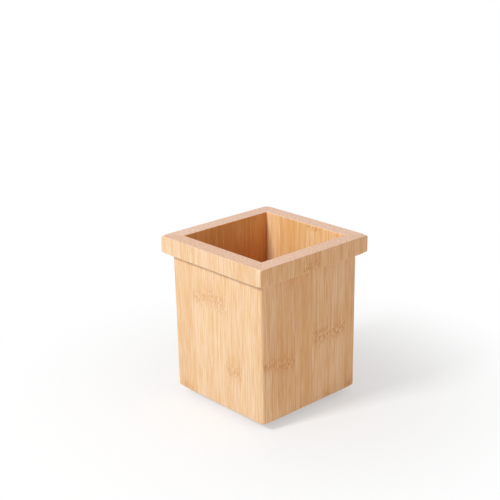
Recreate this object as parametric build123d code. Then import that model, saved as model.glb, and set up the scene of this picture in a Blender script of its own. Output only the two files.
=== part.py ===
from build123d import *
import math
import os

# Square bamboo utensil holder that spins on a hidden pressed-steel swivel.
# Millimetres. Origin: centre of the base on the counter, +Z up.
# The front face looks along -Y, the right face along +X.

# Box
rim_width = 139.7          # outside of the rim band, each way
overall_height = 165.1     # counter to the top of the rim
wall_thickness = 8.0
rim_thickness = 8.0        # how far the band stands out from the walls
rim_height = 17.0
wall_lift = 7.5            # gap between the counter and the walls' lower edge
corner_radius = 1.3        # upright outside corners of walls and band
outer_edge_radius = 0.7    # other outside edges of walls and band
inner_edge_radius = 0.6    # eased inside edge of the mouth
glue_line = 0.02           # half the width of a mitre's glue line

# Floor board, held by a tongue in a groove round the walls
floor_thickness = 8.0
tongue_thickness = 4.0
tongue_length = 3.0
groove_end_gap = 0.3       # room for the board to swell

# Turntable foot under the box
pad_height = 2.0
pad_radius = 6.0
pad_inset = 11.0           # pad centres in from the disc's rim
pad_count = 4
pad_edge_radius = 0.5
disc_side_gap = 1.85       # disc's rim to the walls round the recess
disc_thickness = 6.0
disc_edge_radius = 1.0
access_hole_radius = 4.0   # a screwdriver reaches the upper screws through it

# Pressed-steel swivel: two square plates with a ball race between them
screw_edge_distance = 7.1  # screw centres in from the disc's rim
screw_inset = 5.75         # screw centres in from the plates' sides
plate_corner_radius = 5.0
sheet = 1.0
ball_diameter = 4.7625
ball_pitch = 7.6           # least spacing of the ball centres round the race
race_clearance = 0.15
race_standoff = 0.4375     # back of each ball groove to the board behind it
race_inset = 15.5          # ball centres in from the plates' sides
shoulder_rise = 1.6        # how far the pressed shoulder stands off the mounting side
shoulder_width = 5.0       # ball centres to the shoulder's outer edge
ramp_width = 2.0           # from the shoulder down to the flat of the plate
ramp_margin = 2.0          # from the ramp's foot to where the flat blank is open
collar_reach = 4.5         # ball centres in to the lower plate's rolled collar
hook_length = 1.7          # how far the rolled lip stands out from the collar
hook_gap = 0.3             # play that the lip leaves over the upper plate
flange_gap = 0.5           # collar to the upper plate's inner edge
bend_radius = 0.4

# Ball retainer
retainer_thickness = 1.0
retainer_half_width = 3.6
pocket_clearance = 0.15

# Wood screws that hold each plate
screw_radius = 1.5
screw_length = 6.0         # under the head
screw_point = 1.5          # length of the tapered point
screw_tip_radius = 0.2
head_radius = 2.9
head_height = 1.9
head_edge_radius = 0.6
screw_hole_gap = 0.25      # plate hole over screw
pilot_gap = 0.05           # pilot hole over screw
cross_slot_length = 3.2
cross_slot_width = 0.7
cross_slot_depth = 1.0

same_place = 1e-6          # points closer than this are one point

# Box and board sizes that follow
rim_half = rim_width / 2
wall_half = rim_half - rim_thickness
mouth_half = wall_half - wall_thickness
disc_radius = mouth_half - disc_side_gap
disc_bottom = pad_height
swivel_height = ball_diameter + 2 * (race_clearance + sheet + race_standoff)
swivel_bottom = disc_bottom + disc_thickness
floor_bottom = swivel_bottom + swivel_height
tongue_bottom = floor_bottom + (floor_thickness - tongue_thickness) / 2
side_names = ["front", "right", "back", "left"]

# Swivel sizes that follow
screw_circle_radius = disc_radius - screw_edge_distance
screw_half_spacing = screw_circle_radius / math.sqrt(2)
screw_places = [(x * screw_half_spacing, y * screw_half_spacing) for x in (-1, 1) for y in (-1, 1)]
plate_half = screw_half_spacing + screw_inset
ball_height = swivel_bottom + swivel_height / 2
race_radius = plate_half - race_inset
race_section = ball_diameter / 2 + race_clearance
ball_count = int(2 * math.pi * race_radius / ball_pitch)
shoulder_outer_radius = race_radius + shoulder_width
ramp_foot_radius = shoulder_outer_radius + ramp_width
pressing_radius = ramp_foot_radius + ramp_margin
collar_radius = race_radius - collar_reach
hook_radius = collar_radius + hook_length


def turned(shape, side):
    """The front piece of a set of four, turned to its own side of the box."""
    return shape.rotate(Axis.Z, 90 * side)


def mitred_board(outer_half, thickness, bottom, top):
    """The front quarter of a square tube with eased corners, mitred at both ends, less half the glue line."""
    inner_half = outer_half - thickness
    ring = RectangleRounded(2 * outer_half, 2 * outer_half, corner_radius) - Rectangle(
        2 * inner_half, 2 * inner_half
    )
    beyond = 2 * outer_half
    quarter = make_face(Polyline(
        (0, -glue_line), (beyond - glue_line, -beyond), (glue_line - beyond, -beyond), close=True
    ))
    return extrude(Plane.XY.offset(bottom) * (ring & quarter), top - bottom)


def level_edges(board, z):
    """The board's edges at that height."""
    return board.edges().filter_by_position(Axis.Z, z - same_place, z + same_place)


def outside_edges(board, outer_half, z):
    """The outside edge at that height: a long straight run and the two halves of the corners."""
    level = level_edges(board, z)
    run = level.filter_by(Axis.X).filter_by(lambda e: abs(e.center().Y + outer_half) < same_place)
    return run + level.filter_by(GeomType.CIRCLE)


def wall():
    """Front wall: a full-height board with a groove for the floor board's tongue."""
    board = mitred_board(wall_half, wall_thickness, wall_lift, overall_height)
    board = fillet(outside_edges(board, wall_half, wall_lift), outer_edge_radius)
    mouth_edge = level_edges(board, overall_height).filter_by(Axis.X).sort_by(Axis.Y)[-1]
    board = fillet(mouth_edge, inner_edge_radius)
    groove_depth = tongue_length + groove_end_gap
    groove = Pos(0, -mouth_half, tongue_bottom) * Box(
        2 * wall_half, 2 * groove_depth, tongue_thickness, align=(Align.CENTER, Align.CENTER, Align.MIN)
    )
    return board - groove


def rim_strip():
    """Front strip of the band glued round the top of the walls."""
    lower_edge = overall_height - rim_height
    strip = mitred_board(rim_half, rim_thickness, lower_edge, overall_height)
    edges = outside_edges(strip, rim_half, overall_height) + outside_edges(strip, rim_half, lower_edge)
    return fillet(edges, outer_edge_radius)


def floor_board():
    """The holder's floor: a square board whose tongue sits in the walls' groove."""
    board = Pos(0, 0, floor_bottom) * Box(
        2 * mouth_half, 2 * mouth_half, floor_thickness, align=(Align.CENTER, Align.CENTER, Align.MIN)
    )
    tongue_half = mouth_half + tongue_length
    tongue = Pos(0, 0, tongue_bottom) * Box(
        2 * tongue_half, 2 * tongue_half, tongue_thickness, align=(Align.CENTER, Align.CENTER, Align.MIN)
    )
    pilot = Cylinder(
        screw_radius + pilot_gap, screw_length - sheet, align=(Align.CENTER, Align.CENTER, Align.MIN)
    )
    return board + tongue - [Pos(x, y, floor_bottom) * pilot for x, y in screw_places]


def foot_disc():
    """Round foot board that stays still on the counter, with the assembly hole for a screwdriver."""
    disc = Pos(0, 0, disc_bottom) * Cylinder(
        disc_radius, disc_thickness, align=(Align.CENTER, Align.CENTER, Align.MIN)
    )
    disc = fillet(disc.edges().filter_by(GeomType.CIRCLE), disc_edge_radius)
    pilot = Cylinder(
        screw_radius + pilot_gap, screw_length - sheet, align=(Align.CENTER, Align.CENTER, Align.MAX)
    )
    disc -= [Pos(x, y, swivel_bottom) * pilot for x, y in screw_places]
    access = Cylinder(access_hole_radius, 4 * disc_thickness)
    return disc - Pos(screw_circle_radius, 0, swivel_bottom) * access


def foot_pad():
    """Rubber pad stuck under the disc, domed a little at its lower edge."""
    pad = Cylinder(pad_radius, pad_height, align=(Align.CENTER, Align.CENTER, Align.MIN))
    return fillet(pad.edges().group_by(Axis.Z)[0], pad_edge_radius)


def groove_reach(section, rise):
    """Half the width of the round ball groove where the sheet meets it, at that height off the ball centre."""
    return math.sqrt(section**2 - rise**2)


def plate_blank():
    """The flat of a plate: a rounded square with four screw holes, open where it is pressed."""
    blank = extrude(RectangleRounded(2 * plate_half, 2 * plate_half, plate_corner_radius), sheet)
    blank -= Cylinder(pressing_radius, 4 * sheet)
    hole = Cylinder(screw_radius + screw_hole_gap, 4 * sheet)
    return blank - [Pos(x, y, 0) * hole for x, y in screw_places]


def pressed(section):
    """A half section in the XZ plane, its bends rounded, spun about the swivel's axis."""
    groove_radii = (race_section, race_section + sheet)

    def on_groove(vertex):
        reach = math.hypot(vertex.X - race_radius, vertex.Y - swivel_height / 2)
        return any(abs(reach - radius) < same_place for radius in groove_radii)

    bends = [v for v in section.vertices() if v.X < pressing_radius - same_place and not on_groove(v)]
    return revolve(Plane.XZ * fillet(bends, bend_radius), Axis.Z)


def lower_plate():
    """Plate on the foot disc: shoulder, ball groove and the rolled collar that holds the upper plate."""
    middle = swivel_height / 2
    face = shoulder_rise + sheet
    inner_reach = groove_reach(race_section, middle - face)
    outer_reach = groove_reach(race_section + sheet, middle - shoulder_rise)
    hook_under = middle + (middle - shoulder_rise) + hook_gap
    hook_top = hook_under + sheet
    race_low = middle - race_section
    top_side = Polyline(
        (pressing_radius, 0), (pressing_radius, sheet), (ramp_foot_radius, sheet),
        (shoulder_outer_radius, face), (race_radius + inner_reach, face),
    )
    groove_top = ThreePointArc(
        (race_radius + inner_reach, face), (race_radius, race_low), (race_radius - inner_reach, face)
    )
    collar = Polyline(
        (race_radius - inner_reach, face), (collar_radius, face), (collar_radius, hook_under),
        (hook_radius, hook_under), (hook_radius, hook_top), (collar_radius - sheet, hook_top),
        (collar_radius - sheet, shoulder_rise), (race_radius - outer_reach, shoulder_rise),
    )
    groove_under = ThreePointArc(
        (race_radius - outer_reach, shoulder_rise), (race_radius, race_low - sheet),
        (race_radius + outer_reach, shoulder_rise),
    )
    under_side = Polyline(
        (race_radius + outer_reach, shoulder_rise), (shoulder_outer_radius + sheet / 2, shoulder_rise),
        (ramp_foot_radius + sheet / 2, 0), (pressing_radius, 0),
    )
    section = make_face([top_side, groove_top, collar, groove_under, under_side])
    return Pos(0, 0, swivel_bottom) * (plate_blank() + pressed(section))


def upper_plate():
    """Plate under the floor board: the same pressing upside down, ending in a flange under the lip."""
    middle = swivel_height / 2
    face = swivel_height - shoulder_rise - sheet
    outside = swivel_height - shoulder_rise
    inner_reach = groove_reach(race_section, face - middle)
    outer_reach = groove_reach(race_section + sheet, outside - middle)
    flange_edge = collar_radius + flange_gap
    race_high = middle + race_section
    under_side = Polyline(
        (pressing_radius, swivel_height), (pressing_radius, swivel_height - sheet),
        (ramp_foot_radius, swivel_height - sheet), (shoulder_outer_radius, face),
        (race_radius + inner_reach, face),
    )
    groove_under = ThreePointArc(
        (race_radius + inner_reach, face), (race_radius, race_high), (race_radius - inner_reach, face)
    )
    flange = Polyline(
        (race_radius - inner_reach, face), (flange_edge, face), (flange_edge, outside),
        (race_radius - outer_reach, outside),
    )
    groove_top = ThreePointArc(
        (race_radius - outer_reach, outside), (race_radius, race_high + sheet),
        (race_radius + outer_reach, outside),
    )
    top_side = Polyline(
        (race_radius + outer_reach, outside), (shoulder_outer_radius + sheet / 2, outside),
        (ramp_foot_radius + sheet / 2, swivel_height), (pressing_radius, swivel_height),
    )
    section = make_face([under_side, groove_under, flange, groove_top, top_side])
    blank = Pos(0, 0, swivel_height - sheet) * plate_blank()
    return Pos(0, 0, swivel_bottom) * (blank + pressed(section))


def on_race(shape, index):
    """A copy of the shape at one of the evenly spaced ball places."""
    turn = 360 * index / ball_count
    return Rot(0, 0, turn) * Pos(race_radius, 0, ball_height) * shape


def balls():
    """The ring of steel balls."""
    return [on_race(Sphere(ball_diameter / 2), i) for i in range(ball_count)]


def retainer():
    """Thin moulded ring with one pocket for each ball."""
    ring = Pos(0, 0, ball_height) * (
        Cylinder(race_radius + retainer_half_width, retainer_thickness)
        - Cylinder(race_radius - retainer_half_width, 2 * retainer_thickness)
    )
    pocket = Cylinder(ball_diameter / 2 + pocket_clearance, 2 * retainer_thickness)
    return ring - [on_race(pocket, i) for i in range(ball_count)]


def screw():
    """Pan-head wood screw, head up, its seat at height 0."""
    head = Cylinder(head_radius, head_height, align=(Align.CENTER, Align.CENTER, Align.MIN))
    head = fillet(head.edges().group_by(Axis.Z)[-1], head_edge_radius)
    shank_length = screw_length - screw_point
    shank = Cylinder(screw_radius, shank_length, align=(Align.CENTER, Align.CENTER, Align.MAX))
    point = Pos(0, 0, -shank_length) * Rot(180, 0, 0) * Cone(
        screw_radius, screw_tip_radius, screw_point, align=(Align.CENTER, Align.CENTER, Align.MIN)
    )
    slot = Pos(0, 0, head_height) * Box(cross_slot_length, cross_slot_width, 2 * cross_slot_depth)
    return head + shank + point - slot - Rot(0, 0, 90) * slot


def at_screw_places(shape):
    """Four copies of the shape at the plates' screw holes."""
    return [Pos(x, y, 0) * shape for x, y in screw_places]


def write(name, shape):
    """Writes one sub-part. A list becomes a group of separate solids."""
    if isinstance(shape, list):
        shape = Compound(children=[s.solid() for s in shape])
    export_step(shape, f"parts/{name}.step")
    print(name, len(shape.solids()))


def main():
    os.makedirs("parts", exist_ok=True)
    for side, name in enumerate(side_names):
        write(f"wall_{name}", turned(wall(), side))
        write(f"rim_{name}", turned(rim_strip(), side))
    write("floor_board", floor_board())
    write("foot_disc", foot_disc())
    write("swivel_lower_plate", lower_plate())
    write("swivel_upper_plate", upper_plate())
    write("swivel_balls", balls())
    write("ball_retainer", retainer())
    down_seat = swivel_bottom + sheet
    up_seat = floor_bottom - sheet
    write("lower_plate_screws", at_screw_places(Pos(0, 0, down_seat) * screw()))
    write("upper_plate_screws", at_screw_places(Pos(0, 0, up_seat) * Rot(180, 0, 0) * screw()))
    for index in range(pad_count):
        turn = 360 / pad_count * (index + 0.5)
        pad = Rot(0, 0, turn) * Pos(disc_radius - pad_inset, 0, 0) * foot_pad()
        write(f"foot_pad_{index + 1}", pad)


main()
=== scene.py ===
import math

import bpy
import numpy as np
from mathutils import Matrix, Vector


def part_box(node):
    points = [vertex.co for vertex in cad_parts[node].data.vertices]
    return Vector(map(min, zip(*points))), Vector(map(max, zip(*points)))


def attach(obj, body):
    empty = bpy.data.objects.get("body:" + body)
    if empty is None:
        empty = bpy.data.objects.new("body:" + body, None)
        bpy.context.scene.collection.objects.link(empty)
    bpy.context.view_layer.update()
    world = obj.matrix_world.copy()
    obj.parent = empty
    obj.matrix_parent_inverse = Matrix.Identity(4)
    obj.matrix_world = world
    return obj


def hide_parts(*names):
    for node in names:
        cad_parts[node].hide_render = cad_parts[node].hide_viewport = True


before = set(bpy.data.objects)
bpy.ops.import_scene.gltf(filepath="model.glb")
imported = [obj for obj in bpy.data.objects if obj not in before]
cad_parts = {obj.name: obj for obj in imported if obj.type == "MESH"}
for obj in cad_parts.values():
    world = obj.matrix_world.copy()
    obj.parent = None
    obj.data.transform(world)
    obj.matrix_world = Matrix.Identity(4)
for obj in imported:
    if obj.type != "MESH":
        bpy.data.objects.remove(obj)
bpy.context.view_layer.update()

bl_info = {
    "name": "Bamboo utensil holder",
    "version": (1, 0, 0),
    "blender": (4, 5, 0),
    "location": "View3D > Sidebar > Holder",
    "description": "Dresses the boards, foot and swivel of a square bamboo utensil holder",
    "category": "Object",
}

MM = 0.001
SIDES = ("front", "right", "back", "left")

# Sizes of the box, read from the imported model
RIM_HALF = -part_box("rim_front")[0].y
WALL_HALF = -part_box("wall_front")[0].y
MOUTH_HALF = -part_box("wall_front")[1].y
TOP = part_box("rim_front")[1].z
RIM_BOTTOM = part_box("rim_front")[0].z
WALL_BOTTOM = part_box("wall_front")[0].z
FLOOR_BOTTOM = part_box("floor_board")[0].z
FLOOR_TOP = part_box("floor_board")[1].z
TONGUE_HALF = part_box("floor_board")[1].x

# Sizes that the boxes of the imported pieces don't show
GLUE_LINE = 0.02 * MM
TONGUE_THICKNESS = 4 * MM
GROOVE_END_GAP = 0.3 * MM

# How far the corner wear reaches, and how far from each edge the rows of points that hold it lie
WEAR_REACH = 5 * MM
HOLD = 0.3 * MM


class HolderSizes(bpy.types.PropertyGroup):
    """Sizes of the finish work that a user may change."""

    corner: bpy.props.FloatProperty(
        name="Upright corners", description="Radius of the upright outside corners",
        default=1.3 * MM, min=0.2 * MM, max=6 * MM, unit="LENGTH", precision=4)
    edge: bpy.props.FloatProperty(
        name="Outside edges", description="Radius of the band's edges and the walls' lower edge",
        default=0.7 * MM, min=0.2 * MM, max=4 * MM, unit="LENGTH", precision=4)
    corner_wear: bpy.props.FloatProperty(
        name="Corner wear", description="How much rounder the sander leaves the edges at the corners",
        default=1.3 * MM, min=0.0, max=3 * MM, unit="LENGTH", precision=4)
    mouth_edge: bpy.props.FloatProperty(
        name="Mouth edge", description="Radius of the edge round the mouth",
        default=0.6 * MM, min=0.1 * MM, max=3 * MM, unit="LENGTH", precision=4)
    hand_sanding: bpy.props.FloatProperty(
        name="Hand sanding", description="How much the eased edges vary along their length",
        default=0.12, min=0.0, max=0.3, subtype="FACTOR")
    strip: bpy.props.FloatProperty(
        name="Bamboo strip", description="Width of one pressed strip",
        default=21 * MM, min=5 * MM, max=60 * MM, unit="LENGTH", precision=4)


class HolderColours(bpy.types.PropertyGroup):
    """Colours of the finishes, as linear values."""

    light_fibre: bpy.props.FloatVectorProperty(
        name="Light fibre", description="Palest fibres of the bamboo", subtype="COLOR", size=3,
        default=(0.915, 0.690, 0.460), min=0.0, max=1.0)
    dark_fibre: bpy.props.FloatVectorProperty(
        name="Dark fibre", description="Deepest fibres of the bamboo", subtype="COLOR", size=3,
        default=(0.770, 0.450, 0.190), min=0.0, max=1.0)
    knuckle: bpy.props.FloatVectorProperty(
        name="Knuckle", description="Scar marks at the knuckles", subtype="COLOR", size=3,
        default=(0.640, 0.290, 0.095), min=0.0, max=1.0)
    deep: bpy.props.FloatVectorProperty(
        name="Deep inside", description="Shadow painted on the wood down inside", subtype="COLOR", size=3,
        default=(0.440, 0.085, 0.000), min=0.0, max=1.0)
    light_end: bpy.props.FloatVectorProperty(
        name="Light end grain", description="Pith between the fibre ends", subtype="COLOR", size=3,
        default=(0.875, 0.650, 0.510), min=0.0, max=1.0)
    dark_end: bpy.props.FloatVectorProperty(
        name="Dark end grain", description="Cut ends of the fibre bundles", subtype="COLOR", size=3,
        default=(0.720, 0.455, 0.320), min=0.0, max=1.0)
    backdrop: bpy.props.FloatVectorProperty(
        name="Floor", description="Pale studio floor", subtype="COLOR", size=3,
        default=(0.86, 0.885, 0.91), min=0.0, max=1.0)


class Signal:
    """A value that varies over a surface. Python's operators on it add Math nodes."""

    def __init__(self, finish, socket):
        self.finish = finish
        self.socket = socket

    def maths(self, operation, *others):
        values = {i: value for i, value in enumerate((self, *others))}
        return self.finish.node("Math", {"operation": operation}, values)

    def __add__(self, other):
        return self.maths("ADD", other)

    __radd__ = __add__

    def __sub__(self, other):
        return self.maths("SUBTRACT", other)

    def __rsub__(self, other):
        return self * -1 + other

    def __mul__(self, other):
        return self.maths("MULTIPLY", other)

    __rmul__ = __mul__

    def __truediv__(self, other):
        return self.maths("DIVIDE", other)

    def size(self):
        return self.maths("ABSOLUTE")

    def above(self, level):
        return self.maths("GREATER_THAN", level)

    def bell(self, width):
        """Gaussian: e to the minus square of the value over the width."""
        share = self / width
        return (share * share * -1).maths("EXPONENT")

    def step(self, low, high):
        """Smooth rise from 0 at low to 1 at high."""
        values = {"Value": self, "From Min": low, "From Max": high}
        return self.finish.node("MapRange", {"interpolation_type": "SMOOTHSTEP"}, values)


class Finish:
    """A material being mixed. The method node adds every kind of node but the output and the shader."""

    def __init__(self, name):
        self.material = bpy.data.materials.new(name)
        self.material.use_nodes = True
        self.tree = self.material.node_tree
        self.shader = self.tree.nodes["Principled BSDF"]

    def plug(self, socket, value):
        if isinstance(value, Signal):
            self.tree.links.new(value.socket, socket)
        else:
            socket.default_value = value

    def node(self, kind, settings, values, output=0):
        """One node of that kind: its settings first, then a value or a link for each named socket."""
        node = self.tree.nodes.new("ShaderNode" + kind)
        for key, setting in settings.items():
            setattr(node, key, setting)
        for key, value in values.items():
            self.plug(node.inputs[key], value)
        return Signal(self, node.outputs[output])

    def place(self, turn=0.0, scale=1 / MM):
        """Object coordinates in millimetres, turned back by that angle about Z, as three signals."""
        at = self.node("TexCoord", {}, {}, "Object")
        values = {"Vector": at, "Rotation": (0, 0, -turn), "Scale": (scale, scale, scale)}
        mapped = self.node("Mapping", {"vector_type": "POINT"}, values)
        return [self.node("SeparateXYZ", {}, {0: mapped}, axis) for axis in "XYZ"]

    def upward(self):
        """How far the surface looks up: 1 on top faces, -1 under the piece."""
        normal = self.node("TexCoord", {}, {}, "Normal")
        return self.node("SeparateXYZ", {}, {0: normal}, "Z")

    def vector(self, x, y, z):
        return self.node("CombineXYZ", {}, {0: x, 1: y, 2: z})

    def noise(self, x, y, z, detail=2.0, rough=0.5):
        values = {"Vector": self.vector(x, y, z), "Scale": 1.0, "Detail": detail, "Roughness": rough}
        return self.node("TexNoise", {}, values)

    def fibres(self, waves, across, up, number, detail=2.0, rough=0.5):
        """Noise drawn out along the fibres and different in every strip."""
        across_waves, up_waves, shift = waves
        return self.noise(across * across_waves, up * up_waves, number * shift, detail, rough)

    def chance(self, x, y):
        """A random number from 0 to 1 for each pair of whole numbers."""
        return self.node("TexWhiteNoise", {"noise_dimensions": "2D"}, {"Vector": self.vector(x, y, 0.0)})

    def mix(self, factor, first, second, blend="MIX"):
        """Colour mix: first where the factor is 0, second where it is 1."""
        settings = {"data_type": "RGBA", "blend_type": blend}
        return self.node("Mix", settings, {0: factor, 6: first, 7: second}, 2)

    def surface(self, **sockets):
        """Feeds the shader's sockets, underscores for the spaces in their names."""
        for name, value in sockets.items():
            self.plug(self.shader.inputs[name.replace("_", " ")], value)
        return self.material

    def bump(self, height, distance, strength=1.0):
        return self.node("Bump", {}, {"Height": height, "Distance": distance, "Strength": strength})


def opaque(colour):
    return (*colour, 1.0)


# Knuckles of each wall: middle along the wall, height, half width, half height and slope, all in mm
FRONT_KNUCKLES = (
    (-23.5, 112.5, 10.5, 6.5, 0.0),
    (0.3, 113.5, 13.2, 8.5, -0.1),
    (24.2, 50.0, 10.5, 7.5, -0.12),
    (-46.5, 10.5, 8.5, 3.5, 0.0),
)
RIGHT_KNUCKLES = (
    (13.8, 77.0, 11.4, 9.5, -0.1),
    (36.8, 75.0, 11.4, 7.5, 0.2),
    (-31.3, 61.5, 11.0, 8.0, -0.1),
    (-53.5, 66.0, 11.0, 5.5, -0.2),
    (55.0, 12.0, 6.5, 4.0, 0.0),
    (24.0, 10.0, 5.0, 3.5, 0.0),
)
BACK_KNUCKLES = (
    (-34.0, 84.0, 10.5, 6.0, 0.1),
    (8.0, 131.0, 10.5, 5.0, -0.1),
    (29.0, 40.0, 10.5, 6.0, 0.0),
)
LEFT_KNUCKLES = (
    (-20.0, 96.0, 10.5, 5.0, 0.0),
    (22.0, 118.0, 10.5, 6.0, 0.15),
    (43.0, 35.0, 10.5, 5.0, 0.0),
)
KNUCKLES = dict(zip(SIDES, (FRONT_KNUCKLES, RIGHT_KNUCKLES, BACK_KNUCKLES, LEFT_KNUCKLES)))
INNER_KNUCKLES = {"back": ((-12.4, 161.5, 9.6, 2.2, 0.0),), "left": ((18.0, 92.0, 10.5, 5.0, 0.0),)}
RIM_KNUCKLES = {"right": ((-6.2, 153.0, 10.5, 4.5, 0.0),), "back": ((14.0, 158.0, 10.5, 4.5, 0.1),)}

# Seams between the strips of each wall, in mm along it
SEAMS = {
    "front": (-55.0, -34.0, -13.0, 13.5, 34.5, 55.5),
    "right": (-42.4, -20.3, 2.3, 25.3, 48.3),
    "back": (-44.5, -23.5, -2.5, 18.5, 39.5),
    "left": (-51.5, -30.5, -9.5, 11.5, 32.5, 53.5),
}
RIM_SEAM_START = 7.1
RIM_SEAM_SHIFT = 4.0

# Tints of the outer and inner faces of each wall, then of its band and of the cut ends, how strong its
# broad streaks are, and how much shadow is painted on the inner face deep in the holder. All were set
# under this scene's light, so they take up the light's differences too: the tints are partly painted light
# and shade, with whole faces of the same wood made lighter, darker or warmer from side to side.
SIDE_LOOKS_WITH_PAINTED_LIGHT = {
    "front": ((0.81, 0.81, 0.82), (0.94, 0.87, 0.79), (0.81, 0.84, 0.91), (0.95, 0.92, 0.88), 0.4, 0.3),
    "right": ((1.00, 0.88, 0.79), (0.97, 0.87, 0.75), (1.00, 0.87, 0.76), (0.99, 0.98, 0.97), 1.1, 0.3),
    "back": ((0.97, 0.92, 0.87), (1.02, 0.99, 0.87), (0.97, 0.93, 0.88), (1.03, 1.03, 1.06), 0.7, 0.0),
    "left": ((0.97, 0.91, 0.85), (0.99, 0.71, 0.43), (0.97, 0.92, 0.86), (1.00, 1.02, 1.05), 0.7, 0.4),
}

# Noises in the wood: waves per mm across the fibres, waves per mm along them, and the shift in the
# noise from one strip to the next
FINE = (1.9, 0.018, 5.3)
BROAD = (0.33, 0.008, 2.7)
DASHES = (3.0, 0.045, 1.9)
THREADS = (2.0, 0.007, 9.7)
CLOUDS = (0.09, 0.04, 6.1)
SWIRLS = (0.4, 0.14, 3.1)
SCARS = (1.4, 0.24, 4.4)
HUES = (1.1, 0.03, 8.1)

# In mm: the soft side of a knuckle, how wavy its height is, the half width of a seam's line, and the
# depth in the holder at which the painted shadow is full
KNUCKLE_SIDE = 0.8
KNUCKLE_WAVE = 7.0
SEAM_WIDTH = 0.35
SHADOW_DEPTH = 50.0

# Finishes, from their darker to their lighter colour
WOOD_HUES = ((0.99, 0.975, 1.03, 1.0), (1.0, 1.0, 0.94, 1.0))
ZINC = ((0.52, 0.53, 0.55, 1.0), (0.68, 0.69, 0.70, 1.0))
BALL_STEEL = ((0.62, 0.62, 0.62, 1.0), (0.74, 0.73, 0.71, 1.0))
NYLON = ((0.72, 0.71, 0.66, 1.0), (0.82, 0.81, 0.76, 1.0))
RUBBER = ((0.02, 0.02, 0.02, 1.0), (0.05, 0.05, 0.05, 1.0))


def knuckle_zones(finish, along, height, ply, knuckles, seed):
    """Where the scars lie and where the wood round them is darker.

    Both are sums over the knuckles of a bell in height, cut off at the sides of the strip and wavy
    along it. The bell of the darker wood reaches three times as far up as down.
    """
    scars = ply * 0.0
    shade = ply * 0.0
    for centre, level, half_width, half_height, slope in knuckles:
        across = (along - centre).size().step(half_width, half_width - KNUCKLE_SIDE) * ply
        wave = (finish.noise(along * 0.3, seed, level) - 0.5) * KNUCKLE_WAVE
        rise = height - level - (along - centre) * slope + wave
        scars = scars + rise.bell(half_height) * across
        shade = shade + rise.bell(rise.above(0.0) * 2 * half_height + half_height) * across
    return scars, shade


def bamboo(name, side, seams, outer_knuckles, inner_knuckles, seed, middle, tints, coarse, deep):
    """Flat-pressed bamboo with its strips upright.

    A strip's number is how many seams lie below the place along the board. Fibres are noise that is
    fine along the board and long up it: fine and broad fibres, short dashes, dark threads and a slow
    cloud of tone and hue. In a knuckle the fibres swirl, and short dark dashes and pale glints show.
    Inner faces turn to the deep colour on the way down, which is shadow painted on the wood. Faces
    that look up or down show the cut ends of the fibre bundles instead.
    """
    colours = bpy.context.scene.holder_colours
    tint, inner_tint, end_tint = [opaque(colour) for colour in tints]
    finish = Finish(name)
    along, back, height = finish.place(SIDES.index(side) * math.pi / 2)
    depth = back * -1
    outer_ply = depth.above(middle / MM)
    number = outer_ply * 11.0 + seed
    seam_line = along * 0.0
    for seam in seams:
        number = number + (along - seam).above(0.0)
        seam_line = seam_line + (along - seam).bell(SEAM_WIDTH)
    tone = finish.chance(number, seed)
    streaks = coarse + (1.0 - outer_ply) * 0.8
    scars, shade = knuckle_zones(finish, along, height, outer_ply, outer_knuckles, seed)
    if inner_knuckles:
        inner = knuckle_zones(finish, along, height, 1.0 - outer_ply, inner_knuckles, seed + 1.0)
        scars = scars + inner[0]
        shade = shade + inner[1]
    warp = (finish.noise(along * 0.04, number, height * 0.015) - 0.5) * 2.0
    swirl = (finish.fibres(SWIRLS, along, height, number, detail=1.0) - 0.5) * scars * 2.6
    fibre_place = along + warp + swirl
    fine = finish.fibres(FINE, fibre_place, height, number, detail=4.0, rough=0.65)
    broad = finish.fibres(BROAD, fibre_place, height, number)
    dashes = finish.fibres(DASHES, fibre_place, height, number)
    threads = finish.fibres(THREADS, fibre_place, height, number, detail=3.0).step(0.57, 0.70)
    cloud = finish.fibres(CLOUDS, along, height, number)
    value = 0.5 + (fine - 0.5) * 2.7 + (broad - 0.5) * streaks
    value = value + (dashes - 0.5) * 2.4 + (tone - 0.5) * 0.35 + (cloud - 0.5) * 0.5
    scar_noise = finish.fibres(SCARS, fibre_place, height, number, rough=0.6)
    marks = scar_noise.step(0.47, 0.60) * scars
    glints = (1.0 - scar_noise).step(0.50, 0.62) * scars
    value = (value + glints * 0.4 - shade * 0.22 - threads * streaks * 0.35).step(-0.05, 1.05)
    wood = finish.mix(value, opaque(colours.dark_fibre), opaque(colours.light_fibre))
    hue = finish.fibres(HUES, fibre_place, height, number).step(0.3, 0.7)
    wood = finish.mix(1.0, wood, finish.mix(hue, *WOOD_HUES), "MULTIPLY")
    strength = streaks * 0.3 + 0.5
    wood = finish.mix(marks * strength + threads * streaks * 0.35, wood, opaque(colours.knuckle))
    wood = finish.mix(seam_line * 0.2, wood, opaque(colours.knuckle))
    # The side's tints for its outer and inner faces are partly painted light and shade: whole faces
    # lighter, darker or warmer
    wood = finish.mix(1.0, wood, finish.mix(outer_ply, inner_tint, tint), "MULTIPLY")
    shadow = (TOP / MM - height).step(0.0, SHADOW_DEPTH) * (1.0 - outer_ply) * deep
    wood = finish.mix(shadow, wood, opaque(colours.deep))
    bundles = finish.noise(along * 1.1, depth * 1.5, height * 0.02, detail=2.0, rough=0.6)
    flecks = finish.noise(along * 0.35, depth * 0.35, 3.0, detail=1.0)
    end_value = (bundles + (flecks - 0.5) * 0.5).step(0.34, 0.66)
    end = finish.mix(end_value, opaque(colours.dark_end), opaque(colours.light_end))
    # The side's tint for the cut ends is partly painted light and shade
    end = finish.mix(1.0, end, end_tint, "MULTIPLY")
    looking_up = finish.upward().size().step(0.55, 0.8)
    colour = finish.mix(looking_up, wood, end)
    relief = fine * 0.6 + dashes * 0.4 + looking_up * (bundles - fine) - marks * 0.3
    return finish.surface(
        Base_Color=colour,
        Roughness=0.50 + (fine - 0.5) * 0.12 + looking_up * 0.12,
        Normal=finish.bump(relief, 0.04 * MM),
        Specular_IOR_Level=0.35)


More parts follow.
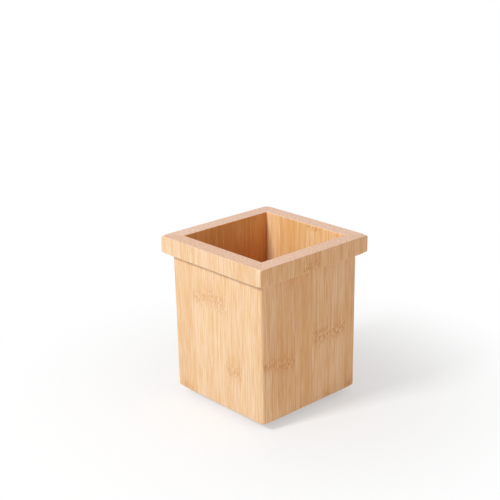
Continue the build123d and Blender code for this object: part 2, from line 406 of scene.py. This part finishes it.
def flat_bamboo(name, seams, seed, warmth):
    """Bamboo lying flat: strips side by side along Y and running along X, cut ends facing sideways."""
    colours = bpy.context.scene.holder_colours
    finish = Finish(name)
    along, across, up = finish.place()
    number = across * 0.0 + seed
    seam_line = across * 0.0
    for seam in seams:
        number = number + (across - seam).above(0.0)
        seam_line = seam_line + (across - seam).bell(0.3)
    warp = (finish.noise(across * 0.05, number, along * 0.03) - 0.5) * 3.0
    fibre_place = across + warp
    fine = finish.noise(fibre_place * 0.95, along * 0.035, number * 5.3 + up * 0.2, detail=3.0, rough=0.6)
    broad = finish.noise(fibre_place * 0.25, along * 0.010, number * 2.7, detail=2.0)
    tone = finish.chance(number, seed)
    value = (0.5 + (fine - 0.5) * 2.1 + (broad - 0.5) * 1.2 + (tone - 0.5) * 0.4).step(-0.05, 1.05)
    wood = finish.mix(value, opaque(colours.dark_fibre), opaque(colours.light_fibre))
    wood = finish.mix(seam_line * 0.3, wood, opaque(colours.knuckle))
    wood = finish.mix(1.0, wood, (1.0, warmth, warmth ** 2, 1.0), "MULTIPLY")
    return finish.surface(
        Base_Color=wood, Roughness=0.55 + (fine - 0.5) * 0.12, Normal=finish.bump(fine, 0.06 * MM),
        Specular_IOR_Level=0.35)


def zinc(name, sheen):
    """Bright zinc plate: faint crystal patches in colour and roughness, and rolling lines along X."""
    finish = Finish(name)
    along, across, up = finish.place()
    patches = finish.noise(along * 0.35, across * 0.35, up * 0.35, detail=3.0)
    rolling = finish.noise(along * 0.06, across * 4.0, up * 4.0, detail=2.0)
    colour = finish.mix(patches, *ZINC)
    return finish.surface(
        Base_Color=colour, Metallic=1.0, Roughness=sheen + (patches - 0.5) * 0.2 + (rolling - 0.5) * 0.15,
        Normal=finish.bump(rolling, 0.01 * MM))


def polished_steel(name):
    """Ground and polished ball steel with a thin uneven film of grease."""
    finish = Finish(name)
    film = finish.noise(*[axis * 0.5 for axis in finish.place()], detail=3.0)
    return finish.surface(
        Base_Color=finish.mix(film, *BALL_STEEL), Metallic=1.0, Roughness=0.08 + film * 0.16)


def moulded(name, dark, light, roughness, grain):
    """Moulded plastic or rubber: a mottled colour and a fine leathery skin."""
    finish = Finish(name)
    along, across, up = finish.place()
    mottle = finish.noise(along * 0.2, across * 0.2, up * 0.2, detail=3.0)
    skin = finish.noise(along * 3.0, across * 3.0, up * 3.0, detail=2.0)
    return finish.surface(
        Base_Color=finish.mix(mottle, dark, light), Roughness=roughness + (skin - 0.5) * 0.15,
        Normal=finish.bump(skin, grain))


def skin(name, points, wrap_rows=False, wrap_columns=False, end_faces=False, sharp=math.radians(35)):
    """A mesh on a grid of points: rows by columns by three.

    Each cell of the grid is one face. Wrapping joins the last row or column to the first. End faces
    close the first and last rows with one face each. The sign of the enclosed volume says whether
    the faces point outwards, and if not they are all turned over.
    """
    rows, columns = points.shape[:2]
    index = np.arange(rows * columns).reshape(rows, columns)
    down = np.roll(index, -1, axis=0) if wrap_rows else index[1:]
    here = index if wrap_rows else index[:-1]
    if wrap_columns:
        quads = np.stack((here, np.roll(here, -1, axis=1), np.roll(down, -1, axis=1), down), axis=-1)
    else:
        quads = np.stack((here[:, :-1], here[:, 1:], down[:, 1:], down[:, :-1]), axis=-1)
    quads = quads.reshape(-1, 4)
    flat = points.reshape(-1, 3)
    corners = flat[quads]
    fans = (corners[:, [0, 1, 2]], corners[:, [0, 2, 3]])
    volume = sum(np.einsum("ij,ij->", fan[:, 0], np.cross(fan[:, 1], fan[:, 2])) for fan in fans)
    faces = quads.tolist()
    if end_faces:
        faces.append(index[0][::-1].tolist())
        faces.append(index[-1].tolist())
        for ring in (flat[index[0][::-1]], flat[index[-1]]):
            after = np.roll(ring, -1, axis=0)
            volume += np.einsum("j,ij->", ring.mean(axis=0), np.cross(ring, after))
    if volume < 0:
        faces = [face[::-1] for face in faces]
    mesh = bpy.data.meshes.new(name)
    mesh.from_pydata(flat.tolist(), [], faces)
    if mesh.validate():
        raise RuntimeError(f"the grid of {name} gives a faulty mesh")
    mesh.shade_smooth()
    mesh.set_sharp_from_angle(angle=sharp)
    piece = bpy.data.objects.new(name, mesh)
    bpy.context.scene.collection.objects.link(piece)
    return piece


def dress(piece, body, slot, material, *nodes):
    """Gives a new piece its material and body, and lets it stand for the CAD nodes."""
    piece.data.materials.append(material)
    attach(piece, body)
    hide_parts(*nodes)


def refinish(node, material):
    """A CAD node keeps its shape and takes the material."""
    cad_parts[node].data.materials.clear()
    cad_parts[node].data.materials.append(material)


def arc(centre_x, centre_y, radius, start, end, steps=7):
    """Points of a circle from one angle to another, in degrees. The radius may be a column."""
    angle = np.radians(np.linspace(start, end, steps))[None, :]
    return centre_x + radius * np.cos(angle), centre_y + radius * np.sin(angle)


def polyline(rows, *runs):
    """Joins runs of depth and height into one profile for every row."""
    depth = np.concatenate([np.broadcast_to(run[0], (rows, run[0].shape[-1])) for run in runs], axis=1)
    height = np.concatenate([np.broadcast_to(run[1], (rows, run[1].shape[-1])) for run in runs], axis=1)
    return depth, height


def corners(*pairs):
    """Plain corner points as a run of depths and a run of heights."""
    table = np.array(pairs)
    return table[None, :, 0], table[None, :, 1]


def sanded(x, radius, seed, wear=0.0):
    """An edge radius for each place along the board.

    It is the plain radius times one plus slow waves, plus the wear times e to the minus square of
    the way to the nearer end over the wear's reach. The waves fade out at the ends by the same bell.
    """
    amount = bpy.context.scene.holder_sizes.hand_sanding
    near_end = np.exp(-((x.max() - np.abs(x)) / WEAR_REACH) ** 2)[:, None]
    phase = np.random.default_rng(seed).uniform(0, 2 * math.pi, 4)
    t = (x / np.ptp(x))[:, None]
    waves = sum(np.sin(2 * math.pi * (k + 1.3) * t + phase[k]) / (k + 1.5) for k in range(4))
    return radius * (1 + amount * waves * (1 - near_end)) + wear * near_end


def side_rows(outer_half, corner, straight=90, turn=6):
    """Points of a side's outer line: an eighth of a turn, a straight run and another eighth."""
    swing = np.radians(np.linspace(45, 0, turn, endpoint=False))
    run = np.linspace(-1, 1, straight) * (outer_half - corner)
    left = -(outer_half - corner) - corner * np.sin(swing)
    x = np.concatenate((left, run, -left[::-1]))
    drop = corner * (1 - np.cos(swing))
    y = np.concatenate((drop, np.zeros(straight), drop[::-1])) - outer_half
    return x, y


def board(name, outer_half, thickness, corner, profile, side):
    """A mitred board of the box.

    A row is one place along the side. Its outer point is on the rounded square, its inner point on
    the plain square inside, at the same share of the way to the mitre. A profile point at depth d
    lies d over the thickness of the way from the outer to the inner point, at its own height.
    """
    x_outer, y_outer = side_rows(outer_half, corner)
    inner_half = outer_half - thickness
    x_inner = x_outer / x_outer.max() * inner_half
    depth, height = profile(x_outer)
    share = depth / thickness
    x = x_outer[:, None] * (1 - share) + x_inner[:, None] * share
    y = y_outer[:, None] * (1 - share) - inner_half * share
    x = x * (1 - GLUE_LINE / outer_half)
    turn = SIDES.index(side) * math.pi / 2
    points = np.stack((
        x * math.cos(turn) - y * math.sin(turn), x * math.sin(turn) + y * math.cos(turn), height), axis=-1)
    return skin(name, points, wrap_columns=True, end_faces=True)


class HOLDER_OT_walls(bpy.types.Operator):
    """Builds the four mitred walls with their grooves and eased edges"""

    bl_idname = "holder.walls"
    bl_label = "Walls"

    def execute(self, context):
        sizes = context.scene.holder_sizes
        thickness = WALL_HALF - MOUTH_HALF
        groove = TONGUE_HALF - MOUTH_HALF + GROOVE_END_GAP
        groove_low = (FLOOR_BOTTOM + FLOOR_TOP - TONGUE_THICKNESS) / 2
        groove_high = groove_low + TONGUE_THICKNESS

        for number, side in enumerate(SIDES):
            def profile(x):
                rows = len(x)
                low = sanded(x, sizes.edge, 10 + number, sizes.corner_wear)
                lip = sanded(x, sizes.mouth_edge, 20 + number)
                return polyline(
                    rows,
                    arc(low, WALL_BOTTOM + low, low, 270, 180),
                    (np.zeros((rows, 1)), WALL_BOTTOM + low + HOLD),
                    corners((0, TOP - HOLD), (0, TOP), (HOLD, TOP)),
                    (thickness - lip - HOLD, np.full((rows, 1), TOP)),
                    arc(thickness - lip, TOP - lip, lip, 90, 0),
                    (np.full((rows, 1), thickness), TOP - lip - HOLD),
                    corners(
                        (thickness, groove_high + HOLD), (thickness, groove_high),
                        (thickness - groove, groove_high), (thickness - groove, groove_low),
                        (thickness, groove_low), (thickness, groove_low - HOLD),
                        (thickness, WALL_BOTTOM + HOLD), (thickness, WALL_BOTTOM),
                        (thickness - HOLD, WALL_BOTTOM)),
                    (low + HOLD, np.full((rows, 1), WALL_BOTTOM)))

            piece = board(f"{side}_wall", WALL_HALF, thickness, sizes.corner, profile, side)
            # This side's tints are partly painted light and shade
            tint, inner_tint, _, end_tint, coarse, deep = SIDE_LOOKS_WITH_PAINTED_LIGHT[side]
            material = bamboo(
                f"bamboo_wall_{side}", side, SEAMS[side], KNUCKLES[side], INNER_KNUCKLES.get(side, ()),
                seed=31.0 + 7 * number, middle=WALL_HALF - thickness / 2,
                tints=(tint, inner_tint, end_tint), coarse=coarse, deep=deep)
            dress(piece, "holder", "bamboo_wall", material, f"wall_{side}")
        return {"FINISHED"}


class HOLDER_OT_rim(bpy.types.Operator):
    """Builds the band of four mitred strips round the top"""

    bl_idname = "holder.rim"
    bl_label = "Rim band"

    def execute(self, context):
        sizes = context.scene.holder_sizes
        thickness = RIM_HALF - WALL_HALF
        for number, side in enumerate(SIDES):
            def profile(x):
                rows = len(x)
                low = sanded(x, sizes.edge, 30 + number, sizes.corner_wear)
                high = sanded(x, sizes.edge, 40 + number, sizes.corner_wear)
                return polyline(
                    rows,
                    arc(low, RIM_BOTTOM + low, low, 270, 180),
                    (np.zeros((rows, 1)), RIM_BOTTOM + low + HOLD),
                    (np.zeros((rows, 1)), TOP - high - HOLD),
                    arc(high, TOP - high, high, 180, 90),
                    (high + HOLD, np.full((rows, 1), TOP)),
                    corners(
                        (thickness - HOLD, TOP), (thickness, TOP), (thickness, TOP - HOLD),
                        (thickness, RIM_BOTTOM + HOLD), (thickness, RIM_BOTTOM),
                        (thickness - HOLD, RIM_BOTTOM)),
                    (low + HOLD, np.full((rows, 1), RIM_BOTTOM)))

            piece = board(f"{side}_rim", RIM_HALF, thickness, sizes.corner, profile, side)
            first = -RIM_HALF / MM + RIM_SEAM_START + RIM_SEAM_SHIFT * number
            seams = tuple(first + k * sizes.strip / MM for k in range(7))
            # This side's band and end tints are partly painted light and shade
            _, _, tint, end_tint, coarse, _ = SIDE_LOOKS_WITH_PAINTED_LIGHT[side]
            material = bamboo(
                f"bamboo_rim_{side}", side, seams, RIM_KNUCKLES.get(side, ()), (),
                seed=63.0 + 5 * number, middle=WALL_HALF - thickness,
                tints=(tint, tint, end_tint), coarse=coarse, deep=0.0)
            dress(piece, "holder", "bamboo_rim", material, f"rim_{side}")
        return {"FINISHED"}


class HOLDER_OT_inner_boards(bpy.types.Operator):
    """Finishes the floor board and the round foot"""

    bl_idname = "holder.inner_boards"
    bl_label = "Floor and foot"

    def execute(self, context):
        seams = tuple(-52.5 + 21.0 * k for k in range(6))
        refinish("floor_board", flat_bamboo("bamboo_floor", seams, 5.0, 0.88))
        refinish("foot_disc", flat_bamboo("bamboo_foot", seams, 9.0, 0.95))
        return {"FINISHED"}


class HOLDER_OT_swivel(bpy.types.Operator):
    """Finishes the swivel's plates, balls, retainer and screws, and the foot pads"""

    bl_idname = "holder.swivel"
    bl_label = "Swivel and pads"

    def execute(self, context):
        plate = zinc("zinc_plate", 0.34)
        refinish("swivel_lower_plate", plate)
        refinish("swivel_upper_plate", plate)
        screws = zinc("zinc_screw", 0.28)
        refinish("lower_plate_screws", screws)
        refinish("upper_plate_screws", screws)
        refinish("swivel_balls", polished_steel("ball_steel"))
        refinish("ball_retainer", moulded("natural_nylon", *NYLON, roughness=0.42, grain=0.01 * MM))
        rubber = moulded("black_rubber", *RUBBER, roughness=0.75, grain=0.03 * MM)
        for number in range(1, 5):
            refinish(f"foot_pad_{number}", rubber)
        return {"FINISHED"}


# The photograph's camera, worked out from the object's corners in the 500 pixel frame
CAMERA_TURN = math.radians(46.95)
CAMERA_RISE = math.radians(22.49)
CAMERA_ROLL = math.radians(-0.76)
CAMERA_DISTANCE = 1.03824
CAMERA_TARGET = Vector((0, 0, 0.082))
FOCAL_PIXELS = 1058.53
TARGET_PIXEL = (265.17, 316.01)
FRAME_PIXELS = 500
SENSOR = 36.0

# Studio light and sky
KEY_PLACE = (-0.20, -1.32, 1.12)
KEY_SIDE = 0.30
KEY_POWER = 20.6
KEY_COLOUR = (1.0, 0.985, 0.97)
SKY_COLOUR = (1.0, 0.955, 0.91, 1.0)
SKY_STRENGTH = 0.56
WHITE = (1.0, 1.0, 1.0, 1.0)

# Floor: half its width, the least share of white that the camera sees in it, and the distances from
# the object between which that share rises to all
FLOOR_REACH = 6.0
LEAST_WHITE = 0.45
WHITE_START = 0.08
WHITE_END = 0.32


class HOLDER_OT_stage(bpy.types.Operator):
    """Sets the pale floor, the soft studio light and the camera"""

    bl_idname = "holder.stage"
    bl_label = "Studio"

    def execute(self, context):
        scene = context.scene
        scene.view_settings.view_transform = "Standard"
        self.floor(scene.holder_colours)
        self.world(scene)
        self.lamp("key", KEY_PLACE, KEY_SIDE, KEY_POWER, KEY_COLOUR)
        self.camera(scene)
        return {"FINISHED"}

    def floor(self, colours):
        """A flat grid on the counter plane that turns to plain white away from the object."""
        line = np.linspace(-FLOOR_REACH, FLOOR_REACH, 25)
        across, along = np.meshgrid(line, line)
        points = np.stack((across, along, np.zeros_like(along)), axis=-1)
        piece = skin("studio_floor", points)
        finish = Finish("pale_floor")
        along, across, _ = finish.place(scale=1.0)
        away = (along * along + across * across).maths("SQRT")
        seen = finish.node("LightPath", {}, {}, "Is Camera Ray")
        for ray in ("Is Glossy Ray", "Is Transmission Ray"):
            seen = seen.maths("MAXIMUM", finish.node("LightPath", {}, {}, ray))
        grain = finish.noise(along * 90, across * 90, 0.0, detail=2.0)
        finish.surface(
            Base_Color=opaque(colours.backdrop), Roughness=0.85 + (grain - 0.5) * 0.1,
            Specular_IOR_Level=0.1)
        glow = finish.node("Emission", {}, {"Color": WHITE, "Strength": 1.0})
        share = seen * (away.step(WHITE_START, WHITE_END) * (1 - LEAST_WHITE) + LEAST_WHITE)
        surface = Signal(finish, finish.shader.outputs[0])
        blend = finish.node("MixShader", {}, {0: share, 1: surface, 2: glow})
        finish.tree.links.new(blend.socket, finish.tree.nodes["Material Output"].inputs["Surface"])
        piece.data.materials.append(finish.material)

    def world(self, scene):
        """An even pale sky that looks plain white to the camera."""
        world = bpy.data.worlds.new("studio")
        world.use_nodes = True
        scene.world = world
        tree = world.node_tree
        sky = tree.nodes["Background"]
        sky.inputs["Color"].default_value = SKY_COLOUR
        sky.inputs["Strength"].default_value = SKY_STRENGTH
        white = tree.nodes.new("ShaderNodeBackground")
        white.inputs["Color"].default_value = WHITE
        white.inputs["Strength"].default_value = 1.0
        path = tree.nodes.new("ShaderNodeLightPath")
        most = tree.nodes.new("ShaderNodeMath")
        most.operation = "MAXIMUM"
        tree.links.new(path.outputs["Is Camera Ray"], most.inputs[0])
        tree.links.new(path.outputs["Is Transmission Ray"], most.inputs[1])
        choose = tree.nodes.new("ShaderNodeMixShader")
        tree.links.new(most.outputs[0], choose.inputs[0])
        tree.links.new(sky.outputs[0], choose.inputs[1])
        tree.links.new(white.outputs[0], choose.inputs[2])
        tree.links.new(choose.outputs[0], tree.nodes["World Output"].inputs["Surface"])

    def lamp(self, name, place, size, power, colour):
        """A square soft box that looks at the object's middle."""
        light = bpy.data.lights.new(name, "AREA")
        light.size = size
        light.energy = power
        light.color = colour
        lamp = bpy.data.objects.new(name, light)
        lamp.location = place
        lamp.rotation_euler = (CAMERA_TARGET - Vector(place)).to_track_quat("-Z", "Y").to_euler()
        bpy.context.scene.collection.objects.link(lamp)

    def camera(self, scene):
        """Looks back along the direction from the target; the lens shift puts the target on its pixel."""
        back = Vector((
            math.sin(CAMERA_TURN) * math.cos(CAMERA_RISE), -math.cos(CAMERA_TURN) * math.cos(CAMERA_RISE),
            math.sin(CAMERA_RISE)))
        level = Vector((math.cos(CAMERA_TURN), math.sin(CAMERA_TURN), 0.0))
        plumb = back.cross(level)
        right = level * math.cos(CAMERA_ROLL) + plumb * math.sin(CAMERA_ROLL)
        up = plumb * math.cos(CAMERA_ROLL) - level * math.sin(CAMERA_ROLL)
        lens = bpy.data.cameras.new("camera")
        lens.sensor_fit = "HORIZONTAL"
        lens.sensor_width = SENSOR
        lens.lens = FOCAL_PIXELS / FRAME_PIXELS * SENSOR
        lens.shift_x = 0.5 - TARGET_PIXEL[0] / FRAME_PIXELS
        lens.shift_y = TARGET_PIXEL[1] / FRAME_PIXELS - 0.5
        lens.clip_start = 0.01
        camera = bpy.data.objects.new("camera", lens)
        turned = Matrix((right, up, back)).transposed().to_4x4()
        camera.matrix_world = Matrix.Translation(CAMERA_TARGET + back * CAMERA_DISTANCE) @ turned
        scene.collection.objects.link(camera)
        scene.camera = camera


STEPS = ("walls", "rim", "inner_boards", "swivel", "stage")


class HOLDER_PT_panel(bpy.types.Panel):
    """Lists the holder's sizes, colours and steps"""

    bl_idname = "HOLDER_PT_panel"
    bl_label = "Utensil holder"
    bl_space_type = "VIEW_3D"
    bl_region_type = "UI"
    bl_category = "Holder"

    def draw(self, context):
        for group in (context.scene.holder_sizes, context.scene.holder_colours):
            for name in group.bl_rna.properties.keys():
                if name not in ("rna_type", "name"):
                    self.layout.prop(group, name)
        for step in STEPS:
            self.layout.operator("holder." + step)


CLASSES = (
    HolderSizes, HolderColours, HOLDER_OT_walls, HOLDER_OT_rim, HOLDER_OT_inner_boards,
    HOLDER_OT_swivel, HOLDER_OT_stage, HOLDER_PT_panel,
)


def register():
    for part in CLASSES:
        bpy.utils.register_class(part)
    bpy.types.Scene.holder_sizes = bpy.props.PointerProperty(type=HolderSizes)
    bpy.types.Scene.holder_colours = bpy.props.PointerProperty(type=HolderColours)


def unregister():
    del bpy.types.Scene.holder_colours
    del bpy.types.Scene.holder_sizes
    for part in reversed(CLASSES):
        bpy.utils.unregister_class(part)


def main():
    register()
    for step in STEPS:
        getattr(bpy.ops.holder, step)()


if __name__ == "__main__":
    main()
